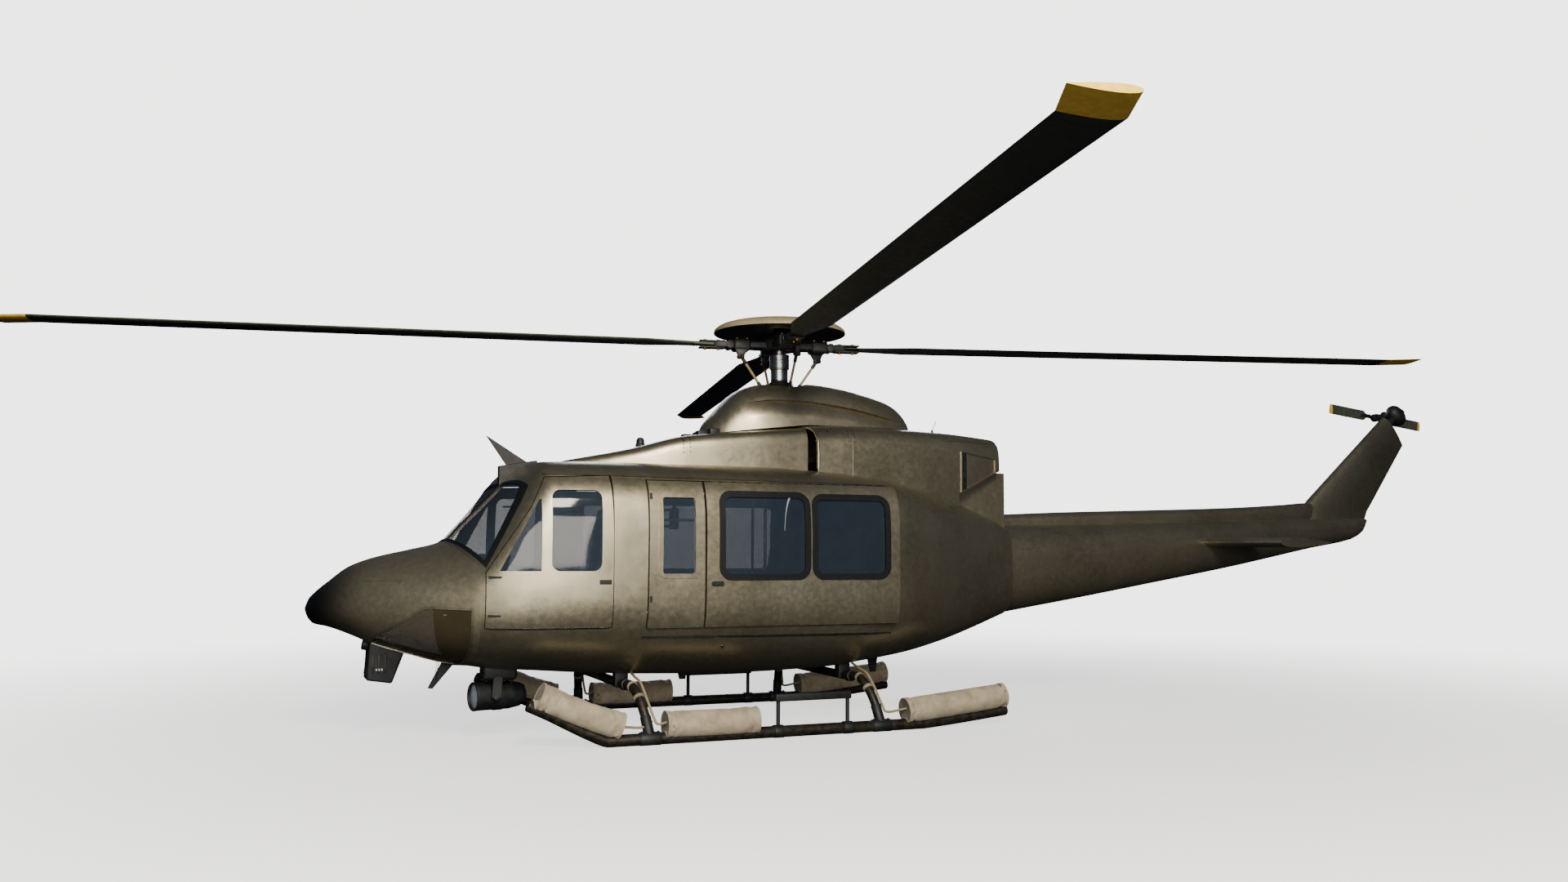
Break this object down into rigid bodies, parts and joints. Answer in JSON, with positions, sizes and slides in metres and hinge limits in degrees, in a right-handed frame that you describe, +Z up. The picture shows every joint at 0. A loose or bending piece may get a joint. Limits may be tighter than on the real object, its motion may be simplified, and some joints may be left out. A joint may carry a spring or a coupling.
{
  "type": "helicopter",
  "caption": "Medium utility helicopter on skid landing gear, with turning rotors, hinged crew doors, sliding cabin doors and packed flotation bags.",
  "frame": {"origin": "centre of the bounding box at ground level, under the skid tubes", "axes": "-X towards the nose, +X towards the tail, -Y port (left), +Y starboard (right), +Z up"},
  "size_m": [16.0122, 13.7933, 3.8315],
  "materials": {
    "khaki_paint": "satin metallic",
    "black_paint": "satin",
    "tinted_glass": "polished",
    "floor_grey": "matte",
    "seat_cloth": "woven",
    "bare_metal": "machined",
    "blade_paint": "matte",
    "olive_paint": "matte",
    "skid_paint": "satin",
    "bag_cloth": "coated cloth"
  },
  "bodies": {
    "airframe": {"nose_shell": "khaki_paint", "belly_tub": "khaki_paint", "cabin_frame": "khaki_paint", "aft_fuselage": "khaki_paint", "transmission_cowl": "khaki_paint", "engine_cowl": "khaki_paint", "mast_fairing": "khaki_paint", "tail_boom": "khaki_paint", "shaft_cover": "khaki_paint", "tail_fin": "khaki_paint", "stabiliser_port": "khaki_paint", "stabiliser_starboard": "khaki_paint", "radome": "black_paint", "nose_sensor": "black_paint", "lower_wire_cutter": "black_paint", "upper_wire_cutter": "black_paint", "searchlight": "black_paint", "instrument_console": "black_paint", "tail_gearbox": "black_paint", "windscreen": "tinted_glass", "chin_window_port": "tinted_glass", "chin_window_starboard": "tinted_glass", "cabin_floor": "floor_grey", "crew_seat_port": "seat_cloth", "crew_seat_starboard": "seat_cloth", "rear_bench": "seat_cloth", "transmission_block": "bare_metal", "engines": "bare_metal", "skid_port": "skid_paint", "skid_starboard": "skid_paint", "cross_tube_front": "skid_paint", "cross_tube_rear": "skid_paint", "float_bag_front_port": "bag_cloth", "float_bag_front_starboard": "bag_cloth", "float_bag_middle_port": "bag_cloth", "float_bag_middle_starboard": "bag_cloth", "float_bag_rear_port": "bag_cloth", "float_bag_rear_starboard": "bag_cloth"},
    "main_rotor": {"mast": "bare_metal", "rotor_hub": "black_paint", "hub_cap": "khaki_paint", "main_blade_1": "blade_paint", "main_blade_2": "blade_paint", "main_blade_3": "blade_paint", "main_blade_4": "blade_paint"},
    "tail_rotor": {"tail_rotor_blades": "olive_paint"},
    "crew_door_port": {"crew_door_port": "khaki_paint", "crew_glass_port": "tinted_glass"},
    "panel_door_port": {"panel_door_port": "khaki_paint", "panel_glass_port": "tinted_glass"},
    "sliding_door_port": {"sliding_door_port": "khaki_paint", "sliding_glass_port": "tinted_glass"},
    "crew_door_starboard": {"crew_door_starboard": "khaki_paint", "crew_glass_starboard": "tinted_glass"},
    "panel_door_starboard": {"panel_door_starboard": "khaki_paint", "panel_glass_starboard": "tinted_glass"},
    "sliding_door_starboard": {"sliding_door_starboard": "khaki_paint", "sliding_glass_starboard": "tinted_glass"}
  },
  "joints": [
    {"name": "main_rotor_spin", "type": "hinge", "parent": "airframe", "child": "main_rotor", "pos_m": [-1.14, 0, 3.595], "axis": [0, 0, 1], "continuous": true},
    {"name": "tail_rotor_spin", "type": "hinge", "parent": "airframe", "child": "tail_rotor", "pos_m": [7.21, 0.3, 3.3], "axis": [0, 1, 0], "continuous": true},
    {"name": "crew_door_port_hinge", "type": "hinge", "parent": "airframe", "child": "crew_door_port", "pos_m": [-4.14, -1.125, 0.975], "axis": [0, 0, -1], "range_deg": [0, 80]},
    {"name": "panel_door_port_hinge", "type": "hinge", "parent": "airframe", "child": "panel_door_port", "pos_m": [-2.857, -1.335, 1.35], "axis": [0, -0.0499, -0.9988], "range_deg": [0, 80]},
    {"name": "sliding_door_port_slide", "type": "slide", "parent": "airframe", "child": "sliding_door_port", "axis": [1, 0, 0], "range_m": [0, 1.6]},
    {"name": "crew_door_starboard_hinge", "type": "hinge", "parent": "airframe", "child": "crew_door_starboard", "pos_m": [-4.14, 1.125, 0.975], "axis": [0, 0, 1], "range_deg": [0, 80]},
    {"name": "panel_door_starboard_hinge", "type": "hinge", "parent": "airframe", "child": "panel_door_starboard", "pos_m": [-2.857, 1.335, 1.35], "axis": [0, -0.0499, 0.9988], "range_deg": [0, 80]},
    {"name": "sliding_door_starboard_slide", "type": "slide", "parent": "airframe", "child": "sliding_door_starboard", "axis": [1, 0, 0], "range_m": [0, 1.6]}
  ]
}
